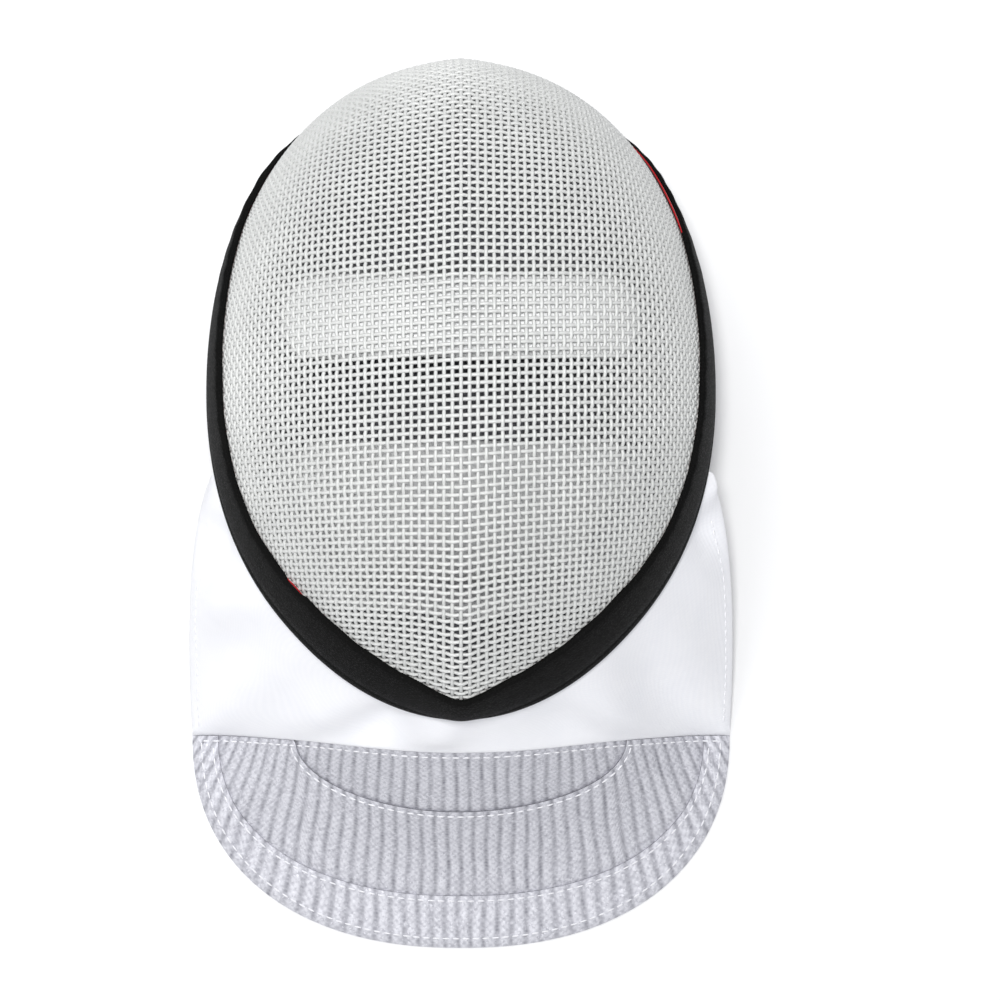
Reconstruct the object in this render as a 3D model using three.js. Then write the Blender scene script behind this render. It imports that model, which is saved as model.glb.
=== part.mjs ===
// A fencing mask with a conductive bib, lying on its back as it rests on a table.
// Millimetres. +Z is the way the mask faces, +Y runs to its crown and -Y to the end of its bib.
import * as THREE from "three";

// The bowl of woven wire: half of an egg that bulges past its rim at the crown.
const BOWL = {
  halfWidth: 100.5,
  crownRise: 137,
  chinDrop: 134.5,
  depth: 113,
  crownPower: 2.15,
  chinPower: 2,
  centreY: 40.5,
  widestZ: 45.6,
  wall: 2.2,
};

// The crease down the middle of the bowl: its height at the brow, the crown and the chin.
const CREASE = { width: 16, roundness: 3, brow: 3.5, crown: 2.5, chin: 13, fadePower: 8 };

// The rim's way round the bowl, in degrees. Turn is 90 at the crown and -90 at the chin,
// and reach is how far round the bowl's side the rim lies, 0 being the middle of the face.
const RIM = [
  { turn: -90, reach: 67.5 },
  { turn: -50, reach: 68 },
  { turn: -20, reach: 77 },
  { turn: 20, reach: 88 },
  { turn: 40, reach: 100 },
  { turn: 60, reach: 110 },
  { turn: 90, reach: 112 },
];

// Gap between pieces that touch on the real mask, and the wider one inside the bowl's flat facets.
const GAP = 0.45;
const INNER_GAP = 0.7;

// The binding folded round the rim: its outer and inner legs, thickness and overhang.
const BINDING = { outerLeg: 26.5, innerLeg: 13, thickness: 1.5, overhang: 3.2, segments: 72 };

// The tape under the binding, and the two places where it peeps out past the binding's edge.
const TAPE = { thickness: 0.5, cover: 25.5 };
const PEEPS = [
  { turn: 39, spread: 8, past: 7 },
  { turn: 221, spread: 2.5, past: 1.1 },
];

// The lining inside the bowl: a ring from the binding in to a rounded window over the face.
const LINING = { thickness: 3.5, halfWindow: 74, windowUp: 50, windowDown: 84, windowPower: 6 };

// The two pads behind the mesh. Near and far are the clear space in front of the ends and the middle.
const FOREHEAD = { halfLength: 67, top: 86.5, bottom: 54, foot: 1, near: 0.8, far: 3, lean: 0 };
const CHIN = { halfLength: 66, top: 24, bottom: -33, foot: 0.76, near: 0.8, far: 20, lean: 18 };
const PAD_THICKNESS = 12;

// The elastic across the back of the head.
const STRAP = { halfSpan: 93, bottom: 20, top: 66, endZ: 66, middleZ: 14, thickness: 2, power: 2.2 };

// The bib in plan. Its panels end at the joining line, and its hem lies flat on the table.
const BIB = {
  thickness: 3,
  joinY: -100,
  joinDip: 3,
  crestZ: 62,
  archPower: 2.2,
  archFoot: 1.5,
  fallPower: 1.6,
  cornerPower: 2.25,
  throat: { halfWidth: 69, drop: 30 },
  hemSeam: { halfWidth: 103, drop: 68 },
  edge: { halfWidth: 114, drop: 90 },
};

// The white yoke between the rim and the joining line: where it starts, turns its corner and drops.
const YOKE = {
  thickness: 2.6,
  startTurn: -12,
  cornerTurn: -46,
  rimInset: -5,
  jaw: new THREE.Vector3(102, 9, 59),
  bow: new THREE.Vector3(115, -18, 43),
};

const degrees = Math.PI / 180;
const lerp = THREE.MathUtils.lerp;

// Smooth curve through a short table, level at both ends.
function through(table, key, column, at) {
  let k = 0;
  while (k < table.length - 2 && at > table[k + 1][key]) k++;
  const slope = (i) => {
    if (i === 0 || i === table.length - 1) return 0;
    return (table[i + 1][column] - table[i - 1][column]) / (table[i + 1][key] - table[i - 1][key]);
  };
  const span = table[k + 1][key] - table[k][key];
  const t = (at - table[k][key]) / span;
  const a = table[k][column];
  const b = table[k + 1][column];
  const ease = t * t * (3 - 2 * t);
  return lerp(a, b, ease) + span * t * (1 - t) * ((1 - t) * slope(k) - t * slope(k + 1));
}

function rimReach(turn) {
  const folded = Math.asin(Math.sin(turn)) / degrees;
  return through(RIM, "turn", "reach", folded) * degrees;
}

// A plan direction from the middle of the face, as the egg's outline has it at that turn.
function outline(turn) {
  const c = Math.cos(turn);
  const s = Math.sin(turn);
  const power = s >= 0 ? BOWL.crownPower : BOWL.chinPower;
  const rise = s >= 0 ? BOWL.crownRise : BOWL.chinDrop;
  const x = Math.sign(c) * Math.abs(c) ** (2 / power);
  const y = Math.sign(s) * Math.abs(s) ** (2 / power);
  const slope = 2 - 2 / power;
  return {
    x: BOWL.halfWidth * x,
    y: rise * y,
    normalX: (Math.sign(c) * Math.abs(c) ** slope) / BOWL.halfWidth,
    normalY: (Math.sign(s) * Math.abs(s) ** slope) / rise,
  };
}

function creaseHeight(x, turn, reach) {
  const along = Math.sin(turn) * Math.sin(reach);
  const end = along < 0 ? CREASE.chin : CREASE.crown;
  const height = lerp(CREASE.brow, end, along * along);
  const fade = Math.max(0, 1 - (reach / rimReach(turn)) ** CREASE.fadePower);
  const away = Math.hypot(x, CREASE.roundness) - CREASE.roundness;
  return height * fade * Math.exp(-away / CREASE.width);
}

// A point of the bowl, off millimetres outside the middle of its wall.
function bowlPoint(turn, reach, off) {
  const way = outline(turn);
  const normal = new THREE.Vector3(
    way.normalX * Math.sin(reach),
    way.normalY * Math.sin(reach),
    Math.cos(reach) / BOWL.depth,
  ).normalize();
  const point = new THREE.Vector3(
    way.x * Math.sin(reach),
    BOWL.centreY + way.y * Math.sin(reach),
    BOWL.widestZ + BOWL.depth * Math.cos(reach),
  );
  return point.addScaledVector(normal, off + creaseHeight(point.x, turn, reach));
}

// The reach that lies inset millimetres in from the rim.
function insetReach(turn, inset) {
  const rim = rimReach(turn);
  const step = 0.1;
  const speed = bowlPoint(turn, rim, 0).distanceTo(bowlPoint(turn, rim - step, 0)) / step;
  return rim - inset / speed;
}

// Height of the bowl's middle surface over a plan point, without its crease.
function bowlHeight(x, y) {
  const up = y - BOWL.centreY;
  const power = up >= 0 ? BOWL.crownPower : BOWL.chinPower;
  const rise = up >= 0 ? BOWL.crownRise : BOWL.chinDrop;
  const out = (Math.abs(x) / BOWL.halfWidth) ** power + (Math.abs(up) / rise) ** power;
  return BOWL.widestZ + BOWL.depth * Math.sqrt(1 - out ** (2 / power));
}

// Turn a list of points and triangles into a solid that faces outward.
function solid(points, index) {
  let volume = 0;
  for (let k = 0; k < index.length; k += 3) {
    const [a, b, c] = [points[index[k]], points[index[k + 1]], points[index[k + 2]]];
    volume += a.dot(new THREE.Vector3().crossVectors(b, c));
  }
  const geometry = new THREE.BufferGeometry().setFromPoints(points);
  geometry.setIndex(volume > 0 ? index : index.reverse());
  geometry.computeVertexNormals();
  return geometry;
}

const quad = (index, a, b, c, d) => index.push(a, b, c, a, c, d);

// A wall over a grid: place(u, v, side) gives its under side at 0 and its upper side at 1.
function wall(columns, rows, place, closed = false) {
  const points = [];
  const index = [];
  const across = closed ? columns : columns + 1;
  for (const side of [0, 1]) {
    for (let j = 0; j <= rows; j++) {
      for (let i = 0; i < across; i++) points.push(place(i / columns, j / rows, side));
    }
  }
  const at = (i, j, side) => (side * (rows + 1) + j) * across + (i % across);
  for (let i = 0; i < columns; i++) {
    for (let j = 0; j < rows; j++) {
      quad(index, at(i, j, 1), at(i + 1, j, 1), at(i + 1, j + 1, 1), at(i, j + 1, 1));
      quad(index, at(i, j, 0), at(i, j + 1, 0), at(i + 1, j + 1, 0), at(i + 1, j, 0));
    }
    quad(index, at(i, 0, 0), at(i + 1, 0, 0), at(i + 1, 0, 1), at(i, 0, 1));
    quad(index, at(i, rows, 1), at(i + 1, rows, 1), at(i + 1, rows, 0), at(i, rows, 0));
  }
  for (let j = 0; j < rows && !closed; j++) {
    quad(index, at(0, j, 0), at(0, j, 1), at(0, j + 1, 1), at(0, j + 1, 0));
    quad(index, at(columns, j, 1), at(columns, j, 0), at(columns, j + 1, 0), at(columns, j + 1, 1));
  }
  return solid(points, index);
}

// A closed section of inset and off pairs carried all round the rim.
function rimSweep(section, segments) {
  const points = [];
  const index = [];
  const n = section.length;
  for (let i = 0; i < segments; i++) {
    const turn = (2 * Math.PI * i) / segments;
    for (const { inset, off } of section) points.push(bowlPoint(turn, insetReach(turn, inset), off));
  }
  for (let i = 0; i < segments; i++) {
    const next = (i + 1) % segments;
    for (let k = 0; k < n; k++) {
      const far = (k + 1) % n;
      quad(index, i * n + k, next * n + k, next * n + far, i * n + far);
    }
  }
  return solid(points, index);
}

// The wire bowl: a square grid drawn to a disc, so that its middle line is the crease.
function wireMesh() {
  return wall(28, 32, (u, v, side) => {
    const across = 2 * u - 1;
    const along = 2 * v - 1;
    const x = across * Math.sqrt(1 - (along * along) / 2);
    const y = along * Math.sqrt(1 - (across * across) / 2);
    const turn = Math.atan2(y, x);
    return bowlPoint(turn, Math.hypot(x, y) * rimReach(turn), (side - 0.5) * BOWL.wall);
  });
}

const TAPE_OFF = BOWL.wall / 2 + GAP;
const BINDING_OFF = TAPE_OFF + TAPE.thickness + GAP;

function edgeTape() {
  return wall(BINDING.segments, 3, (u, v, side) => {
    const turn = 2 * Math.PI * u;
    let cover = TAPE.cover;
    for (const peep of PEEPS) {
      cover += peep.past * Math.exp(-(((turn / degrees - peep.turn) / peep.spread) ** 2));
    }
    return bowlPoint(turn, insetReach(turn, lerp(0.5, cover, v)), TAPE_OFF + side * TAPE.thickness);
  }, true);
}

function rimBinding() {
  const { outerLeg, innerLeg, thickness, overhang, segments } = BINDING;
  const inner = -BOWL.wall / 2 - INNER_GAP;
  const outer = BINDING_OFF + thickness;
  const section = [
    { inset: outerLeg, off: outer - 0.8 },
    { inset: outerLeg - 3, off: outer },
    { inset: outerLeg / 2, off: outer + 0.2 },
    { inset: outerLeg / 4, off: outer + 0.2 },
    { inset: 0, off: outer },
    { inset: -overhang * 0.8, off: outer / 2 },
    { inset: -overhang, off: 0 },
    { inset: -overhang * 0.8, off: inner - thickness / 2 },
    { inset: 0.5, off: inner - thickness },
    { inset: innerLeg, off: inner - thickness },
    { inset: innerLeg, off: inner },
    { inset: -0.6, off: inner },
  ];
  const folds = 3;
  for (let k = 0; k <= folds; k++) section.push({ inset: lerp(-0.6, outerLeg, k / folds), off: BINDING_OFF });
  return rimSweep(section, segments);
}

function crownLining() {
  const { thickness, halfWindow, windowUp, windowDown, windowPower } = LINING;
  const outside = -BOWL.wall / 2 - INNER_GAP;
  return wall(48, 5, (u, v, side) => {
    const turn = 2 * Math.PI * u;
    const way = outline(turn);
    const tall = way.y >= 0 ? windowUp : windowDown;
    const out = Math.abs(way.x / halfWindow) ** windowPower + Math.abs(way.y / tall) ** windowPower;
    const window = Math.asin(out ** (-1 / windowPower));
    const end = insetReach(turn, BINDING.innerLeg + 1.5);
    return bowlPoint(turn, lerp(window, end, v), outside - (1 - side) * thickness);
  }, true);
}

// A pad behind the mesh: its ends reach the mesh and its middle stands back from it.
function pad({ halfLength, top, bottom, foot, near, far, lean }) {
  return wall(16, 5, (u, v, side) => {
    const across = 2 * u - 1;
    const up = 2 * v - 1;
    const round = 1 - 0.7 * Math.max(0, (Math.abs(across) - 0.7) / 0.3) ** 2.2;
    const y = (top + bottom) / 2 + (up * round * (top - bottom)) / 2;
    const x = across * halfLength * lerp(foot, 1, v);
    const space = lerp(far, near, across * across) + lean * (1 - v) ** 1.5;
    const puff = 0.35 + 0.65 * (1 - across ** 6) * (1 - up ** 4);
    const front = bowlHeight(x, y) - BOWL.wall / 2 - space - PAD_THICKNESS * 0.35 * (1 - puff);
    return new THREE.Vector3(x, y, side ? front : front - PAD_THICKNESS * puff);
  });
}

function backStrap() {
  const { halfSpan, bottom, top, endZ, middleZ, thickness, power } = STRAP;
  return wall(16, 1, (u, v, side) => {
    const across = 2 * u - 1;
    const slope = ((endZ - middleZ) * power * Math.abs(across) ** (power - 1)) / halfSpan;
    const lean = Math.atan(slope) * Math.sign(across);
    const off = (side - 0.5) * thickness;
    const z = lerp(middleZ, endZ, Math.abs(across) ** power);
    const x = across * halfSpan - off * Math.sin(lean);
    return new THREE.Vector3(x, lerp(bottom, top, v), z + off * Math.cos(lean));
  });
}

// Under side of the bib: an arch over the throat that sinks and narrows to the flat hem.
function bibHeight(x, y) {
  const { halfWidth, drop } = BIB.hemSeam;
  const down = Math.min(1, Math.max(0, BIB.joinY - y) / drop);
  const reach = halfWidth * (1 - down ** BIB.cornerPower) ** (1 / BIB.cornerPower);
  if (Math.abs(x) >= reach) return 0;
  const arch = (1 - (Math.abs(x) / reach) ** BIB.archPower) ** BIB.archFoot;
  return BIB.crestZ * arch * (1 - down) ** BIB.fallPower;
}

// A point of one of the bib's round seams, at a turn from 0 at the right to -180 degrees at the left.
function seamPoint({ halfWidth, drop }, turn, power, grow) {
  const c = Math.cos(turn);
  const s = Math.sin(turn);
  const x = (halfWidth + grow) * Math.sign(c) * Math.abs(c) ** (2 / power);
  const y = BIB.joinY - (drop + grow) * Math.abs(s) ** (2 / power);
  return new THREE.Vector2(x, y);
}

function bibSheet(columns, rows, plan) {
  return wall(columns, rows, (u, v, side) => {
    const { x, y } = plan(u, v);
    return new THREE.Vector3(x, y, bibHeight(x, y) + side * BIB.thickness);
  });
}

function joinLine(x) {
  const out = Math.min(1, Math.abs(x) / BIB.throat.halfWidth);
  return BIB.joinY - BIB.joinDip * (1 - out * out) ** 2;
}

function bibThroat() {
  const { halfWidth, drop } = BIB.throat;
  return bibSheet(16, 3, (u, v) => {
    const x = 0.998 * (halfWidth - GAP) * Math.sin((u - 0.5) * Math.PI);
    const low = BIB.joinY - (drop - GAP) * Math.sqrt(1 - (x / (halfWidth - GAP / 2)) ** 2);
    return new THREE.Vector2(x, lerp(low, joinLine(x), v));
  });
}

function bibApron() {
  return bibSheet(32, 5, (u, v) => {
    const inside = seamPoint(BIB.throat, -Math.PI * u, 2, 0);
    const outside = seamPoint(BIB.hemSeam, -Math.PI * u, BIB.cornerPower, -GAP);
    return inside.lerp(outside, v);
  });
}

function bibHem() {
  return bibSheet(32, 2, (u, v) => {
    const inside = seamPoint(BIB.hemSeam, -Math.PI * u, BIB.cornerPower, 0);
    const outside = seamPoint(BIB.edge, -Math.PI * u, BIB.cornerPower, 0);
    return inside.lerp(outside, v);
  });
}

// Outer edge of the yoke: down one side, along the joining line and up the other side.
function yokeEdge(u) {
  const half = u <= 0.5 ? 1 : -1;
  const t = half > 0 ? u : 1 - u;
  const corner = new THREE.Vector3(BIB.edge.halfWidth, BIB.joinY + GAP, YOKE.thickness / 2);
  if (t <= 0.25) {
    const side = new THREE.QuadraticBezierCurve3(YOKE.jaw, YOKE.bow, corner).getPoint(4 * t);
    return side.setX(half * side.x);
  }
  const x = half * lerp(corner.x, 0, 4 * t - 1);
  const y = joinLine(x) + GAP;
  return new THREE.Vector3(x, y, bibHeight(x, y) + YOKE.thickness / 2);
}

function yokeTurn(u) {
  const t = u <= 0.5 ? u : 1 - u;
  const turn = t <= 0.25
    ? lerp(YOKE.startTurn, YOKE.cornerTurn, 4 * t)
    : lerp(YOKE.cornerTurn, -90, 4 * t - 1);
  return (u <= 0.5 ? turn : -180 - turn) * degrees;
}

function bibYoke() {
  return wall(40, 4, (u, v, side) => {
    const turn = yokeTurn(u);
    const rim = bowlPoint(turn, insetReach(turn, YOKE.rimInset), 0.5);
    const edge = yokeEdge(u);
    const point = new THREE.Vector3().lerpVectors(rim, edge, v);
    return point.setZ(point.z + (side - 0.5) * YOKE.thickness);
  });
}

function painted(color, roughness, metalness) {
  return new THREE.MeshStandardMaterial({ color, roughness, metalness });
}

const wirePaint = painted("#dfe2e2", 0.5, 0.1);
const leathercloth = painted("#20201e", 0.55, 0);
const redTape = painted("#c4161c", 0.7, 0);
const darkCloth = painted("#57575c", 0.9, 0);
const whiteCloth = painted("#f1f1f4", 0.85, 0);
const lame = painted("#c9c9d0", 0.45, 0.4);

const pieces = [
  { name: "wire_mesh", geometry: wireMesh(), material: wirePaint },
  { name: "edge_tape", geometry: edgeTape(), material: redTape },
  { name: "rim_binding", geometry: rimBinding(), material: leathercloth },
  { name: "crown_lining", geometry: crownLining(), material: darkCloth },
  { name: "forehead_pad", geometry: pad(FOREHEAD), material: whiteCloth },
  { name: "chin_pad", geometry: pad(CHIN), material: whiteCloth },
  { name: "back_strap", geometry: backStrap(), material: darkCloth },
  { name: "bib_yoke", geometry: bibYoke(), material: whiteCloth },
  { name: "bib_throat", geometry: bibThroat(), material: lame },
  { name: "bib_apron", geometry: bibApron(), material: lame },
  { name: "bib_hem", geometry: bibHem(), material: lame },
];

const mask = new THREE.Group();
for (const { name, geometry, material } of pieces) {
  const mesh = new THREE.Mesh(geometry, material);
  mesh.name = name;
  mask.add(mesh);
}

// Stand the mask on z = 0 with the middle of its box over the origin.
const box = new THREE.Box3().setFromObject(mask);
mask.position.set(0, -(box.min.y + box.max.y) / 2, -box.min.z);

export default mask;
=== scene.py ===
# %% [markdown]
# # A fencing mask in Blender
# The mask lies on its back, face up: a bowl of woven wire with a leathercloth rim, two white pads behind
# the mesh and a silver bib below the chin. The solids that were packed before are loaded first. They are
# the frame, and every piece made here takes its place from the same sizes, so nothing has to be fitted.

# %% Load the frame
import math

import bpy
import numpy as np
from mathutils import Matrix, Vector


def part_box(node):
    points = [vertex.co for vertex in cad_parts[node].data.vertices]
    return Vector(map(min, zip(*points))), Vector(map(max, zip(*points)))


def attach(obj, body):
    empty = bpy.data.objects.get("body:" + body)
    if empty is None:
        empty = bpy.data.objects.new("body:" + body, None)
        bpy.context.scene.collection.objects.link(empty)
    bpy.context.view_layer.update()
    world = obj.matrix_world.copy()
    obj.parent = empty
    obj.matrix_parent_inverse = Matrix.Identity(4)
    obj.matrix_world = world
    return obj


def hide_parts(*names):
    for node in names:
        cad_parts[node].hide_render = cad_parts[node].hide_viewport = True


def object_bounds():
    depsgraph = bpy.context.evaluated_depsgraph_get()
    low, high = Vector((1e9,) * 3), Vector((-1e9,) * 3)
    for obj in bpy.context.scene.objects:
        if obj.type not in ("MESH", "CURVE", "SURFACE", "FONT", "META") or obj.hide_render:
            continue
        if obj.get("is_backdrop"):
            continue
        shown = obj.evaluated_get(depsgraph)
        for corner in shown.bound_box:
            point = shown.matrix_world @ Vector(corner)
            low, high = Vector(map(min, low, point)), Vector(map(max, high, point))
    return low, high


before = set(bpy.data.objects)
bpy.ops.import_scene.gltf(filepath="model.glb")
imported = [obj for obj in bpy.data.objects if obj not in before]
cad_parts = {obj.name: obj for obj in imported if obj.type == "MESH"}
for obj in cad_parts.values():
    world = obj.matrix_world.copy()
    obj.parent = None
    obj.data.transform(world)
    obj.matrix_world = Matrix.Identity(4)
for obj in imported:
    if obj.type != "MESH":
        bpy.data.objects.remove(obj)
cad_low, cad_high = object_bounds()
print("frame", [round(1000 * x) for x in cad_high - cad_low], "mm,", len(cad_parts), "solids")

# %% [markdown]
# ## The face's own frame
# The mask is easiest to describe in millimetres from a point between its eyes and its chin. One function
# moves such points to the frame, in metres. The hem of the bib ends 190 mm below that point and lies on the
# table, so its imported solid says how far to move.

# %% From the face's millimetres to the frame's metres
HEM_END = 190.0

hem_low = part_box("bib_hem")[0]
TO_FRAME = np.array([0.0, 1000 * hem_low.y + HEM_END, 1000 * hem_low.z])


def in_frame(points):
    return (np.asarray(points, float) + TO_FRAME) / 1000


print("the face's middle lies", np.round(TO_FRAME, 2), "mm from the frame's origin")

# %% [markdown]
# ## Small helpers for colours and nodes
# Colours are written as the hex values a paint program shows, and turned to the linear values that shaders
# use. One function adds a node with its settings and links, for shaders and for Geometry Nodes alike, and
# the part of it that fills in a node's inputs also serves a shader that is already there. A Mix node has
# sockets for every kind of value, so the places of the ones used here have names.

# %% Colour and node helpers
FACTOR, VECTOR_A, VECTOR_B, COLOUR_A, COLOUR_B = 0, 4, 5, 6, 7
MIXED_VECTOR, MIXED_COLOUR = 1, 2


def linear(colour):
    parts = [int(colour[k:k + 2], 16) / 255 for k in (1, 3, 5)]
    return tuple(c / 12.92 if c <= 0.04045 else ((c + 0.055) / 1.055) ** 2.4 for c in parts) + (1.0,)


def set_inputs(tree, node, inputs):
    for key, value in inputs.items():
        if isinstance(value, bpy.types.NodeSocket):
            tree.links.new(value, node.inputs[key])
        else:
            node.inputs[key].default_value = value


def add_node(tree, kind, inputs=None, **settings):
    made = tree.nodes.new(kind)
    for key, value in settings.items():
        setattr(made, key, value)
    set_inputs(tree, made, inputs or {})
    return made


def new_material(name):
    material = bpy.data.materials.new(name)
    material.use_nodes = True
    tree = material.node_tree
    return material, tree, tree.nodes["Principled BSDF"]


print("helpers ready")

# %% [markdown]
# ## Camera and floor
# The photograph looks straight into the face from about 1.4 m, so the camera hangs above the mask and looks
# down. Its lens comes from the photograph's scale: 3295 pixels of focal length on a frame of 1000 pixels.
# The mask stands left of the middle, which a small lens shift gives. The floor is a matt white board, which
# spreads the light evenly. It lies a hair below the mask, so that the two never fight for one plane.

# %% Make the camera and the floor
PHOTO_SIZE = 1000
FOCAL_PIXELS = 3295
MASK_COLUMN = 461
CAMERA_HEIGHT = 1.4
SENSOR = 36.0
FLOOR_HALF, FLOOR_Z = 3.0, -0.0006

scene = bpy.context.scene
camera = bpy.data.objects.new("camera", bpy.data.cameras.new("camera"))
camera.data.sensor_width = SENSOR
camera.data.lens = SENSOR * FOCAL_PIXELS / PHOTO_SIZE
camera.data.shift_x = (PHOTO_SIZE / 2 - MASK_COLUMN) / PHOTO_SIZE
camera.location = in_frame((0, 0, 1000 * CAMERA_HEIGHT))
scene.collection.objects.link(camera)
scene.camera = camera

corners = [(FLOOR_HALF * x, FLOOR_HALF * y, FLOOR_Z) for x, y in ((-1, -1), (1, -1), (1, 1), (-1, 1))]
floor_mesh = bpy.data.meshes.new("floor")
floor_mesh.from_pydata(corners, [], [(0, 1, 2, 3)])
floor = bpy.data.objects.new("floor", floor_mesh)
scene.collection.objects.link(floor)
floor_paint, tree, shader = new_material("matt_white_board")
set_inputs(tree, shader, {"Base Color": linear("#fbfbfb"), "Roughness": 0.9})
floor_mesh.materials.append(floor_paint)
floor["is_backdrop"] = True
print("lens", round(camera.data.lens, 1), "mm, shift", camera.data.shift_x)

# %% [markdown]
# ## Light
# The strongest light is a small soft box beside the camera's axis: it shines through the holes of the mesh
# on the pads behind, which shows them as pale bands. Two wide and weaker ones stand to the left, one beyond
# the crown and one beyond the bib, and model the cloth. A pale surround lifts the shadows.

# %% Hang the lights
LIGHTS = {
    "key_light": {"place": (-0.05, 0.15, 1.7), "size": 0.3, "watts": 21},
    "side_light": {"place": (-0.5, 0.9, 1.05), "size": 0.8, "watts": 5},
    "fill_light": {"place": (-0.55, -1.25, 0.6), "size": 0.8, "watts": 3.2},
}
SURROUND = {"Color": linear("#f7f9ff"), "Strength": 0.34}

middle = (cad_low + cad_high) / 2
for name, wanted in LIGHTS.items():
    light = bpy.data.objects.new(name, bpy.data.lights.new(name, "AREA"))
    light.data.shape = "DISK"
    light.data.size = wanted["size"]
    light.data.energy = wanted["watts"]
    light.location = wanted["place"]
    light.rotation_euler = (middle - light.location).to_track_quat("-Z", "Y").to_euler()
    scene.collection.objects.link(light)
world = bpy.data.worlds.new("pale_studio")
world.use_nodes = True
set_inputs(world.node_tree, world.node_tree.nodes["Background"], SURROUND)
scene.world = world
scene.view_settings.view_transform = "Standard"
print(len(LIGHTS), "lights, aimed at", [round(x, 3) for x in middle])

# %% [markdown]
# ## The bowl as a formula
# A fencing mask is pressed from flat mesh over a form like half an egg, with a crease down its middle. The
# egg is a squared-off ellipsoid: a turn round the face and a reach from its middle give each point. The
# rim, the tape, the binding and the lining all follow from that one function, offset along its normal.
# Lengths are in millimetres. The table of the rim gives its reach in degrees at a few turns.

# %% Sizes of the bowl and the reach of its rim
HALF_WIDTH, DEPTH, CENTRE_Y, WIDEST_Z, WALL = 100.5, 113.0, 40.5, 45.6, 2.2
CROWN_RISE, CROWN_POWER = 137.0, 2.15
CHIN_DROP, CHIN_POWER = 134.5, 2.0
CREASE = {"width": 16, "roundness": 3, "brow": 3.5, "crown": 2.5, "chin": 13, "fade_power": 8}
RIM_TURN = np.array([-90, -50, -20, 20, 40, 60, 90], float)
RIM_REACH = np.array([67.5, 68, 77, 88, 100, 110, 112], float)


def ease(t):
    return t * t * (3 - 2 * t)


def rim_reach(turn):
    at = np.degrees(np.arcsin(np.sin(turn)))
    slopes = np.zeros(len(RIM_TURN))
    slopes[1:-1] = (RIM_REACH[2:] - RIM_REACH[:-2]) / (RIM_TURN[2:] - RIM_TURN[:-2])
    k = np.clip(np.searchsorted(RIM_TURN, at) - 1, 0, len(RIM_TURN) - 2)
    span = RIM_TURN[k + 1] - RIM_TURN[k]
    t = (at - RIM_TURN[k]) / span
    level = RIM_REACH[k] + (RIM_REACH[k + 1] - RIM_REACH[k]) * ease(t)
    return np.radians(level + span * t * (1 - t) * ((1 - t) * slopes[k] - t * slopes[k + 1]))


print("the rim reaches", np.round(np.degrees(rim_reach(np.radians([-90.0, 0.0, 90.0]))), 1), "degrees")

# %% Points of the bowl
def half_of_egg(up):
    crown = np.asarray(up) >= 0
    return np.where(crown, CROWN_POWER, CHIN_POWER), np.where(crown, CROWN_RISE, CHIN_DROP)


def outline(turn):
    c, s = np.cos(turn), np.sin(turn)
    power, rise = half_of_egg(s)
    x = np.sign(c) * np.abs(c) ** (2 / power)
    y = np.sign(s) * np.abs(s) ** (2 / power)
    normal_x = np.sign(c) * np.abs(c) ** (2 - 2 / power) / HALF_WIDTH
    normal_y = np.sign(s) * np.abs(s) ** (2 - 2 / power) / rise
    return HALF_WIDTH * x, rise * y, normal_x, normal_y


def crease_height(x, turn, reach):
    along = np.sin(turn) * np.sin(reach)
    end = np.where(along < 0, CREASE["chin"], CREASE["crown"])
    height = CREASE["brow"] + (end - CREASE["brow"]) * along ** 2
    fade = np.maximum(0, 1 - (np.maximum(reach, 0) / rim_reach(turn)) ** CREASE["fade_power"])
    away = np.hypot(x, CREASE["roundness"]) - CREASE["roundness"]
    return height * fade * np.exp(-away / CREASE["width"])


def bowl_point(turn, reach, off=0.0):
    x, y, normal_x, normal_y = outline(turn)
    s, c = np.sin(reach), np.cos(reach)
    normal = np.stack(np.broadcast_arrays(normal_x * s, normal_y * s, c / DEPTH), -1)
    normal /= np.linalg.norm(normal, axis=-1, keepdims=True)
    point = np.stack(np.broadcast_arrays(x * s, CENTRE_Y + y * s, WIDEST_Z + DEPTH * c), -1)
    lift = off + crease_height(point[..., 0], turn, reach)
    return point + normal * np.asarray(lift)[..., None]


def inset_reach(turn, inset):
    rim, step = rim_reach(turn), 0.1
    speed = np.linalg.norm(bowl_point(turn, rim) - bowl_point(turn, rim - step), axis=-1) / step
    return rim - inset / speed


def bowl_height(x, y):
    up = np.asarray(y) - CENTRE_Y
    power, rise = half_of_egg(up)
    out = (np.abs(x) / HALF_WIDTH) ** power + (np.abs(up) / rise) ** power
    return WIDEST_Z + DEPTH * np.sqrt(np.maximum(0, 1 - out ** (2 / power)))


print("bowl", np.round(bowl_point(np.radians(90.0), 0.0), 1), "at the middle of the face")

# %% [markdown]
# ## A wall between two grids
# Cloth, leather and pads all have two sides. One function closes the wall between a grid of points on the
# outside and one on the inside, keeps a map of the cloth in metres for its weave, and shades it smoothly
# except at edges sharper than a given angle.

# %% Faces of grids and of the edges between them
def grid_faces(rows, columns, start, closed, flip):
    i, j = np.meshgrid(np.arange(rows - 1), np.arange(columns if closed else columns - 1), indexing="ij")
    near, far = start + i * columns, start + (i + 1) * columns
    step = (j + 1) % columns
    faces = np.stack([near + j, near + step, far + step, far + j], -1).reshape(-1, 4)
    return faces[:, ::-1] if flip else faces


def edge_faces(outer, inner, closed):
    size = len(outer)
    k = np.arange(size if closed else size - 1)
    step = (k + 1) % size
    return np.stack([outer[k], inner[k], inner[step], outer[step]], -1)


def outward(points, faces):
    a, b, c, d = (points[faces[:, k]] for k in range(4))
    volume = (a * np.cross(b, c)).sum() + (a * np.cross(c, d)).sum()
    return faces if volume > 0 else faces[:, ::-1]


print("face helpers ready")

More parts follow.
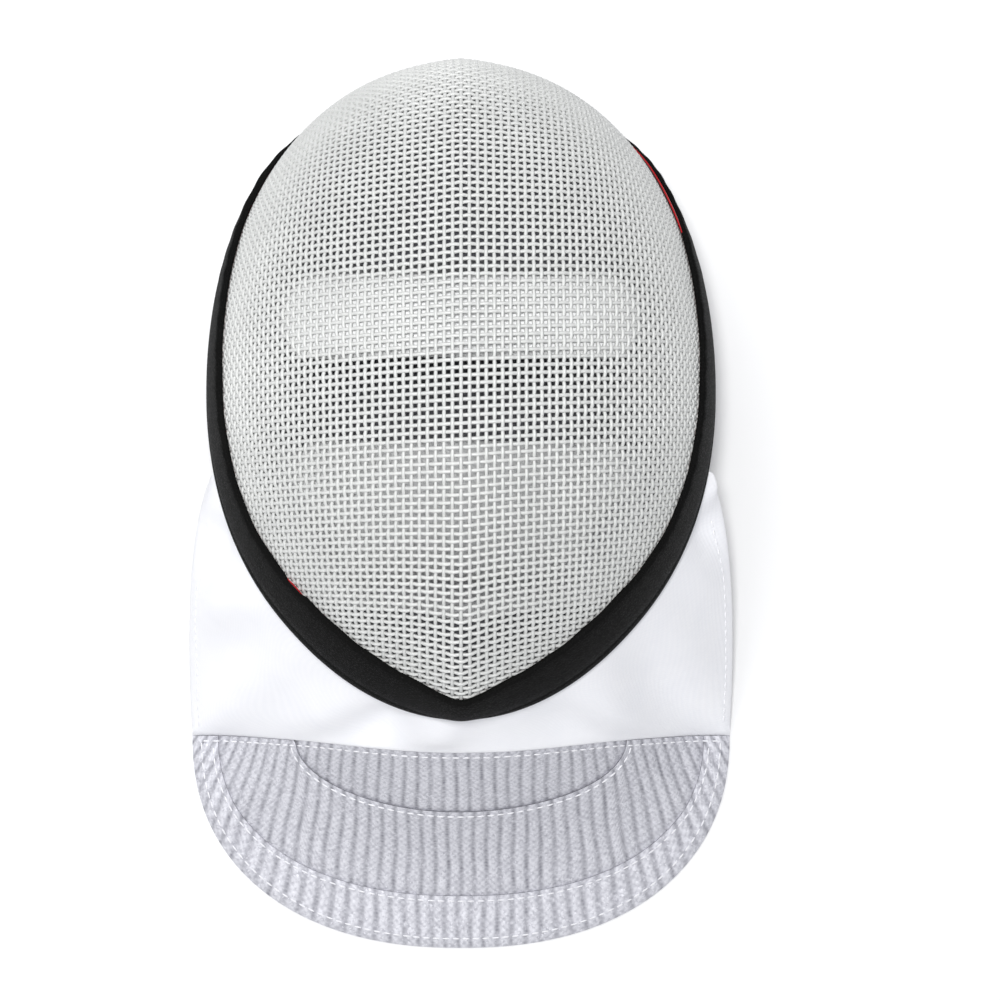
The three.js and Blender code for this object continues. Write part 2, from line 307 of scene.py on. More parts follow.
# %% Make a mesh object, or a closed wall from its two sides
def mesh_object(name, points, faces, material, cloth_map=None, sharp=50):
    mesh = bpy.data.meshes.new(name)
    mesh.from_pydata(in_frame(points).tolist(), [], np.asarray(faces).tolist())
    if cloth_map is not None:
        corners = np.empty(len(mesh.loops), np.int32)
        mesh.loops.foreach_get("vertex_index", corners)
        layer = mesh.uv_layers.new(name="cloth")
        layer.data.foreach_set("uv", (np.asarray(cloth_map)[corners] / 1000).astype(np.float32).ravel())
    mesh.polygons.foreach_set("use_smooth", np.ones(len(mesh.polygons), bool))
    mesh.set_sharp_from_angle(angle=math.radians(sharp))
    mesh.materials.append(material)
    mesh.update()
    made = bpy.data.objects.new(name, mesh)
    scene.collection.objects.link(made)
    print(name, 2 * len(faces), "triangles")
    return made


def wall(name, upper, under, material, closed=False, cloth_map=None, sharp=50):
    rows, columns = upper.shape[:2]
    count = rows * columns
    at = np.arange(count).reshape(rows, columns)
    parts = [grid_faces(rows, columns, 0, closed, False), grid_faces(rows, columns, count, closed, True)]
    parts.append(edge_faces(at[0], at[0] + count, closed))
    parts.append(edge_faces(at[-1][::-1], at[-1][::-1] + count, closed))
    if not closed:
        parts.append(edge_faces(at[::-1, 0], at[::-1, 0] + count, False))
        parts.append(edge_faces(at[:, -1], at[:, -1] + count, False))
    points = np.concatenate([upper.reshape(-1, 3), under.reshape(-1, 3)])
    faces = outward(points, np.concatenate(parts))
    if cloth_map is not None:
        cloth_map = np.concatenate([cloth_map.reshape(-1, 2)] * 2)
    return mesh_object(name, points, faces, material, cloth_map, sharp)


print("mesh helpers ready")

# %% [markdown]
# ## Painted steel wire
# The mesh is woven from steel wire a little over a millimetre thick and then painted pale grey. Paint gives
# a soft gloss with a slightly uneven film, and it lies thicker in some places, so the colour and the
# roughness drift over patches 17 mm wide, and the surface has a faint orange peel a third of a millimetre
# across. A pattern's scale counts its features to the metre, so it is 1000 divided by their size.

# %% Material of the wires
PAINT_PATCH, ORANGE_PEEL = 16.67, 0.3333

wire_paint, tree, shader = new_material("painted_steel_wire")
place = add_node(tree, "ShaderNodeTexCoord").outputs["Object"]
drift = add_node(tree, "ShaderNodeTexNoise", {"Vector": place, "Scale": 1000 / PAINT_PATCH, "Detail": 3.0})
peel = add_node(tree, "ShaderNodeTexNoise", {"Vector": place, "Scale": 1000 / ORANGE_PEEL, "Detail": 1.0})
tone = add_node(tree, "ShaderNodeMix", data_type="RGBA", inputs={
    FACTOR: drift.outputs["Fac"], COLOUR_A: linear("#c8c9c7"), COLOUR_B: linear("#d8d9d7")})
gloss = add_node(tree, "ShaderNodeMapRange", {
    "Value": drift.outputs["Fac"], "To Min": 0.32, "To Max": 0.48})
bump = add_node(tree, "ShaderNodeBump", {
    "Height": peel.outputs["Fac"], "Strength": 0.15, "Distance": 0.0001})
set_inputs(tree, shader, {
    "Base Color": tone.outputs[MIXED_COLOUR], "Roughness": gloss.outputs["Result"],
    "Normal": bump.outputs["Normal"]})
print("material", wire_paint.name)

# %% [markdown]
# ## Draping the woven wire
# Woven wire can't stretch, but its square meshes shear to lozenges. Draping a net therefore keeps the
# distance from each crossing to its neighbours. The net starts from two wires, one down the crease and one
# across below the eyes, and each further crossing lies one pitch from the two crossings beside it and on
# the egg. Those are three equations in three unknowns, solved by Newton's steps for a whole diagonal at a
# time.

# %% Solve for the crossings beside known ones
COLUMN_PITCH, ROW_PITCH = 3.1, 2.95
NEWTON_STEPS, LARGEST_MISS = 12, 1e-6
# Keeps the powers and the equations sound at the middle of the face.
TINY = 1e-12


def egg(points):
    x, up, z = points[..., 0], points[..., 1] - CENTRE_Y, points[..., 2] - WIDEST_Z
    power, rise = half_of_egg(up)
    far_x, far_y = np.abs(x) / HALF_WIDTH, np.abs(up) / rise
    both = far_x ** power + far_y ** power + TINY
    level = both ** (2 / power) + (z / DEPTH) ** 2 - 1
    share = 2 * both ** (2 / power - 1)
    slope_x = share * far_x ** (power - 1) * np.sign(x) / HALF_WIDTH
    slope_y = share * far_y ** (power - 1) * np.sign(up) / rise
    return level, np.stack([slope_x, slope_y, 2 * z / DEPTH ** 2], -1)


def next_crossing(guess, beside=None, before=None, plane=None):
    point = np.array(guess, float)
    for _ in range(NEWTON_STEPS):
        level, slope = egg(point)
        rows, miss = [slope], [level]
        for neighbour, pitch in ((beside, COLUMN_PITCH), (before, ROW_PITCH)):
            if neighbour is not None:
                apart = point - neighbour
                rows.append(2 * apart)
                miss.append((apart ** 2).sum(-1) - pitch ** 2)
        if plane is not None:
            rows.append(np.broadcast_to(plane[:3], point.shape))
            miss.append(point @ plane[:3] - plane[3])
        jacobian = np.stack(rows, -2) + TINY * np.eye(3)
        point = point - np.linalg.solve(jacobian, np.stack(miss, -1)[..., None])[..., 0]
    lost = np.abs(np.stack(miss, -1)).max(-1) > LARGEST_MISS
    point[lost] = np.nan
    return point


print("pitch", COLUMN_PITCH, "x", ROW_PITCH, "mm")

# %% Grow the net from its two first wires
FIRST_ROW_Y = -14.0
ROW_SLANT = math.tan(math.radians(2.8))
ROWS, COLUMNS = 110, 60


def first_wire(crossings, step, plane, neighbour):
    for k in range(1, len(crossings)):
        last = crossings[k - 1]
        ahead = last - crossings[k - 2] if k > 1 else np.array(step)
        crossings[k] = next_crossing((last + ahead)[None], **{neighbour: last}, plane=plane)[0]


net = np.full((2 * COLUMNS + 1, 2 * ROWS + 1, 3), np.nan)
net[COLUMNS, ROWS] = (0, FIRST_ROW_Y, float(bowl_height(0.0, FIRST_ROW_Y)))
crease_plane = np.array([1.0, 0, 0, 0])
row_plane = np.array([-ROW_SLANT, 1.0, 0, FIRST_ROW_Y])
for way in (1, -1):
    first_wire(net[COLUMNS, ROWS::way], [0, way * ROW_PITCH, 0], crease_plane, "before")
    first_wire(net[COLUMNS::way, ROWS], [way * COLUMN_PITCH, 0, 0], row_plane, "beside")
for right in (1, -1):
    for up in (1, -1):
        for diagonal in range(2, ROWS + COLUMNS + 1):
            i = np.arange(max(1, diagonal - ROWS), min(COLUMNS, diagonal - 1) + 1)
            a, b = COLUMNS + right * i, ROWS + up * (diagonal - i)
            beside, before, corner = net[a - right, b], net[a, b - up], net[a - right, b - up]
            guess = beside + before - corner
            ready = np.isfinite(guess).all(-1)
            if ready.any():
                net[a[ready], b[ready]] = next_crossing(guess[ready], beside[ready], before[ready])
print("net of", int(np.isfinite(net).all(-1).sum()), "crossings")

# %% Keep the crossings inside the binding and lift them over the crease
NET_INSET = 15.0
# Keeps a length that is divided by from being nothing.
SMALL = 1e-9

slope = egg(net)[1]
facing = slope / np.linalg.norm(slope, axis=-1, keepdims=True)
power, rise = half_of_egg(net[..., 1] - CENTRE_Y)
far_x, far_y = net[..., 0] / HALF_WIDTH, (net[..., 1] - CENTRE_Y) / rise
wide = (np.abs(far_x) ** power + np.abs(far_y) ** power) ** (1 / power) + SMALL
net_turn = np.arctan2(np.sign(far_y) * np.abs(far_y / wide) ** (power / 2),
                      np.sign(far_x) * np.abs(far_x / wide) ** (power / 2))
net_reach = np.arctan2(wide, (net[..., 2] - WIDEST_Z) / DEPTH)
held = np.isfinite(net).all(-1)
held[held] = net_reach[held] < inset_reach(net_turn[held], NET_INSET)
net = net + facing * crease_height(net[..., 0], net_turn, net_reach)[..., None]
print(int(held.sum()), "crossings are kept")

# %% [markdown]
# ## Weaving the wires
# Each wire passes over one crossing and under the next, lies flat across the crest and slants between the
# crests, which two points per crossing give. The paths are plain edges, and a Geometry Nodes tree turns
# them into round wire: edges to curves, curves to tubes. Its sizes are named inputs of the tree.

# %% Start, end and use of a tree that grows a piece along a path
def new_tree(name, sizes):
    tree = bpy.data.node_groups.new(name, "GeometryNodeTree")
    tree.interface.new_socket("Geometry", in_out="INPUT", socket_type="NodeSocketGeometry")
    for label, kind in sizes.items():
        tree.interface.new_socket(label, in_out="INPUT", socket_type=kind)
    tree.interface.new_socket("Geometry", in_out="OUTPUT", socket_type="NodeSocketGeometry")
    return tree, add_node(tree, "NodeGroupInput").outputs


def end_tree(tree, geometry, material):
    real = add_node(tree, "GeometryNodeRealizeInstances", {"Geometry": geometry})
    smooth = add_node(tree, "GeometryNodeSetShadeSmooth", {"Geometry": real.outputs[0]})
    painted = add_node(tree, "GeometryNodeSetMaterial", {
        "Geometry": smooth.outputs[0], "Material": material})
    add_node(tree, "NodeGroupOutput", {"Geometry": painted.outputs[0]})
    print("tree", tree.name)


def grow(name, tree, points, edges, sizes):
    path = bpy.data.meshes.new(name + "_path")
    path.from_pydata(in_frame(points).tolist(), np.asarray(edges).tolist(), [])
    holder = bpy.data.objects.new(name + "_path", path)
    scene.collection.objects.link(holder)
    modifier = holder.modifiers.new("grow", "NODES")
    modifier.node_group = tree
    for item in tree.interface.items_tree:
        if item.in_out == "INPUT" and item.name in sizes:
            modifier[item.identifier] = sizes[item.name]
    evaluated = holder.evaluated_get(bpy.context.evaluated_depsgraph_get())
    mesh = bpy.data.meshes.new_from_object(evaluated)
    bpy.data.objects.remove(holder)
    made = bpy.data.objects.new(name, mesh)
    scene.collection.objects.link(made)
    print(name, sum(len(p.vertices) - 2 for p in mesh.polygons), "triangles")
    return made


print("tree helpers ready")

# %% Tree that turns paths into round wire
wire_tree, sizes = new_tree("round_wire", {"Wire Radius": "NodeSocketFloat", "Sides": "NodeSocketInt"})
curve = add_node(wire_tree, "GeometryNodeMeshToCurve", {"Mesh": sizes["Geometry"]})
ring = add_node(wire_tree, "GeometryNodeCurvePrimitiveCircle", {
    "Radius": sizes["Wire Radius"], "Resolution": sizes["Sides"]})
tube = add_node(wire_tree, "GeometryNodeCurveToMesh", {
    "Curve": curve.outputs["Curve"], "Profile Curve": ring.outputs["Curve"], "Fill Caps": True})
end_tree(wire_tree, tube.outputs["Mesh"], wire_paint)

# %% Weave the wires that run down and the wires that run across
WIRE_RADIUS, WIRE_SIDES = 0.76, 6
CRIMP, CREST = 0.3, 0.25
SHORTEST_RUN = 3


def woven_paths(crossings, normals, inside, over):
    points, edges, count = [], [], 0
    for k in range(crossings.shape[0]):
        run = np.flatnonzero(inside[k])
        for part in np.split(run, np.flatnonzero(np.diff(run) > 1) + 1):
            if len(part) < SHORTEST_RUN:
                continue
            base, lift = crossings[k, part], normals[k, part] * (over[k, part] * CRIMP)[:, None]
            ahead = np.diff(base, axis=0)
            before = base - CREST * np.vstack([ahead[:1], ahead]) + lift
            after = base + CREST * np.vstack([ahead, ahead[-1:]]) + lift
            path = np.stack([before, after], 1).reshape(-1, 3)
            points.append(path)
            steps = count + np.arange(len(path) - 1)
            edges.append(np.stack([steps, steps + 1], -1))
            count += len(path)
    return np.concatenate(points), np.concatenate(edges)


i, j = np.meshgrid(np.arange(net.shape[0]), np.arange(net.shape[1]), indexing="ij")
over = np.where((i + j) % 2 == 0, 1.0, -1.0)
wire_sizes = {"Wire Radius": WIRE_RADIUS / 1000, "Sides": WIRE_SIDES}
points, edges = woven_paths(net, facing, held, over)
wires_down = grow("wires_down", wire_tree, points, edges, wire_sizes)
points, edges = woven_paths(net.transpose(1, 0, 2), facing.transpose(1, 0, 2), held.T, -over.T)
wires_across = grow("wires_across", wire_tree, points, edges, wire_sizes)
for wires in (wires_down, wires_across):
    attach(wires, "root")
    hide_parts("wire_mesh")

# %% [markdown]
# ## Leathercloth
# Leathercloth is a woven backing with a soft black plastic skin that is rolled to look like leather:
# pebbles about a millimetre wide between fine valleys. It is nearly matt, a little shinier on the pebbles'
# tops, and the light catches the grain rather than the colour. Noise 2.5 mm wide pushes the pebbles out of
# shape, and the places that hands touch, 22 mm wide, are a little paler.

# %% Material of the binding
GRAIN_DRIFT, DRIFT_SHARE, PEBBLE, HANDLED_PATCH = 2.5, 0.0008, 1.111, 22.22

leathercloth, tree, shader = new_material("black_leathercloth")
place = add_node(tree, "ShaderNodeTexCoord").outputs["Object"]
warp = add_node(tree, "ShaderNodeTexNoise", {"Vector": place, "Scale": 1000 / GRAIN_DRIFT, "Detail": 2.0})
shifted = add_node(tree, "ShaderNodeMix", data_type="VECTOR", inputs={
    FACTOR: DRIFT_SHARE, VECTOR_A: place, VECTOR_B: warp.outputs["Color"]})
pebbles = add_node(tree, "ShaderNodeTexVoronoi", feature="DISTANCE_TO_EDGE", inputs={
    "Vector": shifted.outputs[MIXED_VECTOR], "Scale": 1000 / PEBBLE})
tops = add_node(tree, "ShaderNodeMapRange", interpolation_type="SMOOTHSTEP", inputs={
    "Value": pebbles.outputs["Distance"], "From Max": 0.35})
handled = add_node(tree, "ShaderNodeTexNoise", {
    "Vector": place, "Scale": 1000 / HANDLED_PATCH, "Detail": 4.0})
tone = add_node(tree, "ShaderNodeMix", data_type="RGBA", inputs={
    FACTOR: handled.outputs["Fac"], COLOUR_A: linear("#060606"), COLOUR_B: linear("#0e0e0d")})
gloss = add_node(tree, "ShaderNodeMapRange", {
    "Value": tops.outputs["Result"], "To Min": 0.78, "To Max": 0.55})
bump = add_node(tree, "ShaderNodeBump", {
    "Height": tops.outputs["Result"], "Strength": 0.6, "Distance": 0.0003})
set_inputs(tree, shader, {
    "Base Color": tone.outputs[MIXED_COLOUR], "Roughness": gloss.outputs["Result"],
    "Normal": bump.outputs["Normal"], "Specular IOR Level": 0.09})
print("material", leathercloth.name)

# %% [markdown]
# ## The binding round the rim
# A strip of leathercloth is folded over the cut edge of the mesh, so that no wire end can scratch. Its
# section is a flat hook: a wide leg outside, a bead over the edge and a narrow leg inside. Sweeping that
# section round the rim makes the strip. The cloth gathers a little as it goes round, so a faint uneven
# ripple runs along the free edge, and the bead is set off by the crease that the fold presses in.

# %% Section of the binding
GAP, INNER_GAP = 0.45, 0.7
TAPE_THICK, TAPE_OFF = 0.5, WALL / 2 + GAP
BINDING_OFF = TAPE_OFF + TAPE_THICK + GAP
BINDING_THICK, OUTER_LEG, INNER_LEG, OVERHANG = 1.5, 26.5, 13.0, 3.2
OUTER_FACE = BINDING_OFF + BINDING_THICK
INNER_FACE = -WALL / 2 - INNER_GAP
LIP_OFF = WALL / 2 + 0.25
HALF_BEAD = (OUTER_FACE - INNER_FACE + BINDING_THICK) / 2
BEAD_BACK = 0.4

# Each pair is a distance in from the rim's edge and a height over the middle of the mesh.
free_edge = [(OUTER_LEG - 0.6, BINDING_OFF), (OUTER_LEG, LIP_OFF), (OUTER_LEG + 0.2, BINDING_OFF),
             (OUTER_LEG - 0.2, OUTER_FACE - 0.35), (OUTER_LEG - 1.2, OUTER_FACE)]
outer_leg = [(OUTER_LEG - 4, OUTER_FACE + 0.1), (16, OUTER_FACE + 0.2), (10, OUTER_FACE + 0.2),
             (5.2, OUTER_FACE + 0.1)]
pressed_crease = [(4.1, OUTER_FACE - 0.45), (3.0, OUTER_FACE + 0.05)]
bead = [(BEAD_BACK - math.cos(a) * (OVERHANG + BEAD_BACK), OUTER_FACE - HALF_BEAD + math.sin(a) * HALF_BEAD)
        for a in np.radians(np.linspace(90, -90, 9))]
inner_leg = [(4, INNER_FACE - BINDING_THICK), (INNER_LEG - 0.6, INNER_FACE - BINDING_THICK),
             (INNER_LEG, INNER_FACE - BINDING_THICK / 2), (INNER_LEG - 0.3, INNER_FACE)]
inside = [(-0.6, INNER_FACE), (-0.6, BINDING_OFF), (8, BINDING_OFF), (17, BINDING_OFF)]
section = np.array(free_edge + outer_leg + pressed_crease + bead + inner_leg + inside)
crease_row = len(free_edge + outer_leg)
print("the section has", len(section), "points")

# %% Sweep the section round the rim
BINDING_STEPS, BINDING_CUT = 360, 47
TAPE_PEEPS = [{"turn": 39, "spread": 8, "past": 7.0}, {"turn": 221, "spread": 2.5, "past": 0.8}]
RIPPLE = {"high": 0.16, "count": 75, "uneven": 2, "beats": 9, "from": 8}
WAVER = {"wide": 0.25, "count": 31, "from": 25}
CROWN_THIN, THIN_FROM, THIN_OVER = 1.5, 40, 14
LIP_OPEN = {"rate": 3, "from": 0.3}


def peep_shares(turn):
    return [np.exp(-((np.degrees(turn) - peep["turn"]) / peep["spread"]) ** 2) for peep in TAPE_PEEPS]


turn = np.linspace(0, 2 * np.pi, BINDING_STEPS, endpoint=False)[None]
inset, off = section[:, 0:1], section[:, 1:2]
outside = off > BINDING_OFF + 0.2
waves = np.sin(RIPPLE["count"] * turn + RIPPLE["uneven"] * np.sin(RIPPLE["beats"] * turn))
ripple = RIPPLE["high"] * waves * outside * (inset > RIPPLE["from"]) * inset / OUTER_LEG
waver = WAVER["wide"] * np.sin(WAVER["count"] * turn) * (inset > WAVER["from"])
crown_turn = np.abs(np.degrees(np.arcsin(np.sin(turn)))) * (np.sin(turn) > 0)
drawn = ease(np.clip((crown_turn - THIN_FROM) / THIN_OVER, 0, 1))
thin = (off > WALL) * drawn * np.where(outside, CROWN_THIN, CROWN_THIN / 2)
opened = np.clip(LIP_OPEN["rate"] * sum(peep_shares(turn)) - LIP_OPEN["from"], 0, 1)
lip = np.where(off == LIP_OFF, (BINDING_OFF - LIP_OFF) * opened, 0)
strip = bowl_point(turn, inset_reach(turn, inset + waver), off + lip + ripple - thin)
count, around = strip.shape[:2]
faces = grid_faces(count + 1, around, 0, True, False) % (count * around)
points = strip.reshape(-1, 3)
binding = mesh_object("binding", points, outward(points, faces), leathercloth, sharp=60)
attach(binding, "root")
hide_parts("rim_binding")
crease = strip[crease_row]
rim_length = np.linalg.norm(np.diff(crease, axis=0, append=crease[:1]), axis=-1).sum() / 1000
print("the rim is", round(rim_length, 3), "m round")

# %% [markdown]
# ## A weave for cloth
# Plain cloth passes each thread over one and under the next. The product of two sine waves, one along each
# thread direction, rises and falls like that. The waves run over the cloth's own map where it has one, and
# over the plan of the mask for pads. A real thread is 0.3 to 0.6 mm wide, which is too fine for the render,
# so it is drawn two to three times as coarse. Soft clouds 14 mm wide keep a plain colour from looking flat.

# %% Weave pattern and cloth
CLOUD, WEAVE_SHARE, TONE_SHARE = 14.29, 0.45, 0.7


def plain_weave(tree, thread_mm, mapped=True):
    if mapped:
        cloth = add_node(tree, "ShaderNodeUVMap", uv_map="cloth").outputs["UV"]
    else:
        cloth = add_node(tree, "ShaderNodeTexCoord").outputs["Object"]
    rate = math.pi / (thread_mm / 1000)
    scaled = add_node(tree, "ShaderNodeVectorMath", {0: cloth, 1: (rate, rate, rate)}, operation="MULTIPLY")
    waves = add_node(tree, "ShaderNodeVectorMath", {0: scaled.outputs[0]}, operation="SINE")
    parts = add_node(tree, "ShaderNodeSeparateXYZ", {0: waves.outputs[0]})
    both = add_node(tree, "ShaderNodeMath", operation="MULTIPLY", inputs={
        0: parts.outputs[0], 1: parts.outputs[1]})
    weave = add_node(tree, "ShaderNodeMath", operation="MULTIPLY_ADD", inputs={
        0: both.outputs[0], 1: 0.5, 2: 0.5})
    return weave.outputs[0]


def cloth_material(name, dark, light, thread_mm, depth_mm, roughness, sheen, mapped=True):
    material, tree, shader = new_material(name)
    weave = plain_weave(tree, thread_mm, mapped)
    place = add_node(tree, "ShaderNodeTexCoord").outputs["Object"]
    cloud = add_node(tree, "ShaderNodeTexNoise", {"Vector": place, "Scale": 1000 / CLOUD, "Detail": 4.0})
    both = add_node(tree, "ShaderNodeMath", operation="MULTIPLY_ADD", inputs={
        0: weave, 1: WEAVE_SHARE, 2: cloud.outputs["Fac"]})
    share = add_node(tree, "ShaderNodeMath", {0: both.outputs[0], 1: TONE_SHARE}, operation="MULTIPLY")
    tone = add_node(tree, "ShaderNodeMix", data_type="RGBA", inputs={
        FACTOR: share.outputs[0], COLOUR_A: linear(dark), COLOUR_B: linear(light)})
    bump = add_node(tree, "ShaderNodeBump", {"Height": weave, "Strength": 0.6, "Distance": depth_mm / 1000})
    set_inputs(tree, shader, {
        "Base Color": tone.outputs[MIXED_COLOUR], "Normal": bump.outputs["Normal"], "Roughness": roughness,
        "Sheen Weight": sheen, "Sheen Roughness": 0.5, "Specular IOR Level": 0.2})
    print("material", name)
    return material


print("weave ready")

# %% [markdown]
# ## The red tape under the binding
# A thin cotton tape, woven in a matt deep red, covers the ends of the wires before the binding goes on. It
# shows only as two slivers, where it reaches past the binding's edge. It is a thin wall that follows the
# rim.

# %% Make the tape
TAPE_START, TAPE_COVER, TAPE_ROWS, TAPE_CUT = 0.5, 25.5, 9, 26
TAPE_THIN = {"upper": 0.35, "under": 0.3}

cotton_tape = cloth_material("red_cotton_tape", "#930d14", "#bd1e25", thread_mm=0.7, depth_mm=0.15,
                             roughness=0.8, sheen=0.2)
down = np.linspace(0, 1, TAPE_ROWS)[:, None]
past = sum(peep["past"] * share for peep, share in zip(TAPE_PEEPS, peep_shares(turn)))
reach = inset_reach(turn, TAPE_START + (TAPE_COVER + past - TAPE_START) * down)
upper = bowl_point(turn, reach, TAPE_OFF + TAPE_THICK - TAPE_THIN["upper"] * drawn)
under = bowl_point(turn, reach, TAPE_OFF - TAPE_THIN["under"] * drawn)
tape_map = np.stack(np.broadcast_arrays(turn * rim_length * 1000 / (2 * np.pi), down * TAPE_COVER), -1)
tape = wall("tape", upper, under, cotton_tape, closed=True, cloth_map=tape_map)
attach(tape, "root")
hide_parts("edge_tape")

# %% [markdown]
# ## The lining inside the bowl
# Behind the mesh a padded dark lining covers the crown and the sides and leaves a window for the face. Its
# dark grey is partly the cloth's own colour and partly painted shade: seen through the mesh it is only
# darkness, standing in for the shade inside the bowl, but it shows from behind. It is a foam-backed cloth,
# matt and dark grey, thicker in the middle of its width and pinched at its sewn edges. A wall between two
# grids will do.

# %% Make the lining
LINING_THICK, LINING_PINCH, LINING_POWER, LINING_START = 3.5, 0.3, 8, 1.5
LINING_STEPS, LINING_ROWS = 180, 25
WINDOW = {"half_width": 74.0, "up": 50.0, "down": 84.0, "power": 6}


def eased_rows(count):
    return 0.5 - 0.5 * np.cos(np.pi * np.linspace(0, 1, count))[:, None]


def pinched(share, pinch, power):
    return pinch + (1 - pinch) * (1 - (2 * share - 1) ** power)


# The lining's dark grey is partly its own cloth and partly painted shade, which darkens the holes behind
# the mesh.
lining_and_shade_cloth = cloth_material("dark_grey_lining_and_painted_shade", "#3b3b40", "#4f4f54", thread_mm=0.9, depth_mm=0.2,
                              roughness=0.95, sheen=0.2, mapped=False)
turn = np.linspace(0, 2 * np.pi, LINING_STEPS, endpoint=False)[None]
share = eased_rows(LINING_ROWS)
way_x, way_y = outline(turn)[:2]
tall = np.where(way_y >= 0, WINDOW["up"], WINDOW["down"])
out = np.abs(way_x / WINDOW["half_width"]) ** WINDOW["power"] + np.abs(way_y / tall) ** WINDOW["power"]
window = np.arcsin(out ** (-1 / WINDOW["power"]))
reach = window + (inset_reach(turn, INNER_LEG + LINING_START) - window) * share
thick = LINING_THICK * pinched(share, LINING_PINCH, LINING_POWER)
lining = wall("lining", bowl_point(turn, reach, INNER_FACE), bowl_point(turn, reach, INNER_FACE - thick),
              lining_and_shade_cloth, closed=True, sharp=70)
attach(lining, "root")
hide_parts("crown_lining")

# %% [markdown]
# ## The white pads behind the mesh
# Two foam pads, covered in white brushed cloth, hold the mask off the forehead and the cheeks. The nap
# makes the cloth matt and soft. A cover sewn round foam is a balloon that is not quite full: Blender's
# cloth solver blows up a plain block with a little pressure until the cover is taut. The pad then keeps
# that shape, and stays behind the mesh.

# %% Block of a pad
PAD_THICK, PAD_COLUMNS, PAD_ROWS, PAD_PINCH = 12.0, 61, 31, 0.35
PAD_END = {"from": 0.84, "over": 0.16, "narrow": 0.6, "power": 2.5}
PAD_CROWN = {"across": 6, "up": 4, "lean": 1.5}
PADS = {
    "forehead_pad": {"half_length": 67, "top": 86.5, "bottom": 54, "foot": 1.0,
                     "near": 0.3, "far": 3, "lean": 0},
    "chin_pad": {"half_length": 66, "top": 24, "bottom": -33, "foot": 0.76,
                 "near": 0.3, "far": 20, "lean": 18},
}


def pad_sides(half_length, top, bottom, foot, near, far, lean, spare):
    across = np.linspace(-1, 1, PAD_COLUMNS)[None]
    v = np.linspace(0, 1, PAD_ROWS)[:, None]
    up = 2 * v - 1
    past = np.maximum(0, (np.abs(across) - PAD_END["from"]) / PAD_END["over"])
    rounded = 1 - PAD_END["narrow"] * past ** PAD_END["power"]
    y = (top + bottom) / 2 + up * rounded * ((top - bottom) / 2 + spare)
    x = across * (half_length + spare) * (foot + (1 - foot) * v)
    space = far + (near - far) * across ** 2 + lean * (1 - v) ** PAD_CROWN["lean"]
    full = (1 - across ** PAD_CROWN["across"]) * (1 - up ** PAD_CROWN["up"])
    puff = PAD_PINCH + (1 - PAD_PINCH) * full
    front = bowl_height(x, y) - WALL / 2 - space - PAD_THICK * PAD_PINCH * (1 - puff) + spare
    back = front - (PAD_THICK + 2 * spare) * puff
    return np.stack(np.broadcast_arrays(x, y, front), -1), np.stack(np.broadcast_arrays(x, y, back), -1)


print("pads", ", ".join(PADS))

# %% Blow up a pad's cover with the cloth solver
PAD_CLEAR, PRESSURE, SOLVER_STEPS = 0.05, 4, 20
VOXEL, LARGEST_SWELL = 2.5, 2


def corners_of(mesh):
    flat = np.empty(3 * len(mesh.vertices), np.float32)
    mesh.vertices.foreach_get("co", flat)
    return flat.reshape(-1, 3).astype(float)


def blow_up(pad):
    cover = pad.modifiers.new("cover", "REMESH")
    cover.mode = "VOXEL"
    cover.voxel_size = VOXEL / 1000
    mesh = bpy.data.meshes.new_from_object(pad.evaluated_get(bpy.context.evaluated_depsgraph_get()))
    pad.modifiers.remove(cover)
    pad.data = mesh
    start = corners_of(mesh)
    moved = start
    foam = pad.modifiers.new("foam", "CLOTH")
    foam.settings.use_pressure = True
    foam.settings.uniform_pressure_force = PRESSURE
    foam.settings.effector_weights.gravity = 0
    for step in range(1, SOLVER_STEPS + 1):
        scene.frame_set(step)
    moved = corners_of(pad.evaluated_get(bpy.context.evaluated_depsgraph_get()).data)
    pad.modifiers.remove(foam)
    scene.frame_set(1)
    swell = moved - start
    far = np.linalg.norm(swell, axis=-1, keepdims=True)
    moved = start + swell * np.minimum(1, LARGEST_SWELL / 1000 / np.maximum(far, SMALL))
    face = 1000 * moved - TO_FRAME
    face[:, 2] = np.minimum(face[:, 2], bowl_height(face[:, 0], face[:, 1]) - WALL / 2 - PAD_CLEAR)
    mesh.vertices.foreach_set("co", in_frame(face).astype(np.float32).ravel())
    mesh.polygons.foreach_set("use_smooth", np.ones(len(mesh.polygons), bool))
    mesh.update()
    print(pad.name, "swelled by up to", round(1000 * float(far.max()), 1), "mm")


print("cloth solver ready")

# %% Make the two pads
PAD_SPARE = 1.0

pad_cloth = cloth_material("white_brushed_pad_cloth", "#f2f3f4", "#ffffff", thread_mm=1.0, depth_mm=0.25,
                           roughness=0.95, sheen=0.4, mapped=False)
for node, size in PADS.items():
    front, back = pad_sides(**size, spare=PAD_SPARE)
    made = wall("soft_" + node, front, back, pad_cloth)
    blow_up(made)
    made.data.materials.clear()
    made.data.materials.append(pad_cloth)
    finer = made.modifiers.new("finer", "SUBSURF")
    finer.levels = finer.render_levels = 1
    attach(made, "root")
    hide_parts(node)

# %% [markdown]
# ## The elastic behind the head
# A wide grey elastic runs across the open back and holds the mask on. Rubber threads run along it and a
# covering yarn crosses them, so it looks finely ribbed across its length. It is a flat strap, so it is
# modelled directly, with thin edges.

# %% Material of the elastic
YARN_PITCH, RUBBER_PITCH = 1.6, 2.6

